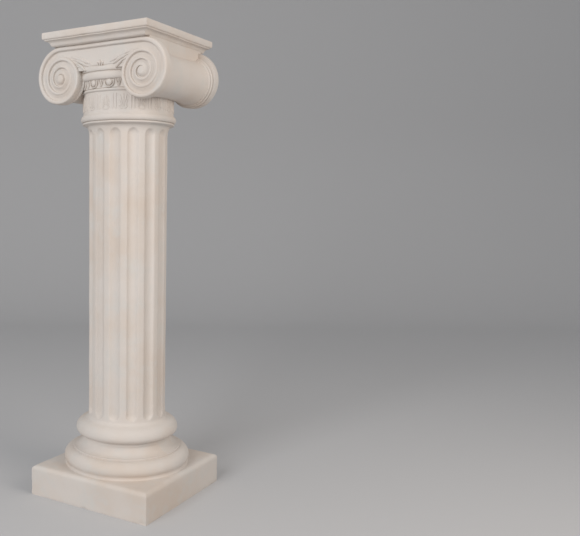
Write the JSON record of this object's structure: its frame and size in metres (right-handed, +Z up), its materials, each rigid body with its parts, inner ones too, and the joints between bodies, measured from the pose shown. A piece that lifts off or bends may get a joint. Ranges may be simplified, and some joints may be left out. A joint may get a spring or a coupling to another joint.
{
  "type": "ionic column pedestal",
  "caption": "Free-standing Ionic column pedestal of cast plaster, with a square plinth, fluted shaft, scrolled capital and flat abacus for a bust, vase or plant.",
  "frame": {"origin": "centre of the plinth's underside", "axes": "+Z up the column; the scrolled faces look along -Y and +Y, and the bolsters lie on -X and +X"},
  "size_m": [0.325, 0.3026, 1],
  "materials": {
    "plaster": "matte warm white gypsum plaster, cast, with slight waviness and soft worn edges"
  },
  "bodies": {
    "root": {"column": "plaster"}
  },
  "joints": []
}
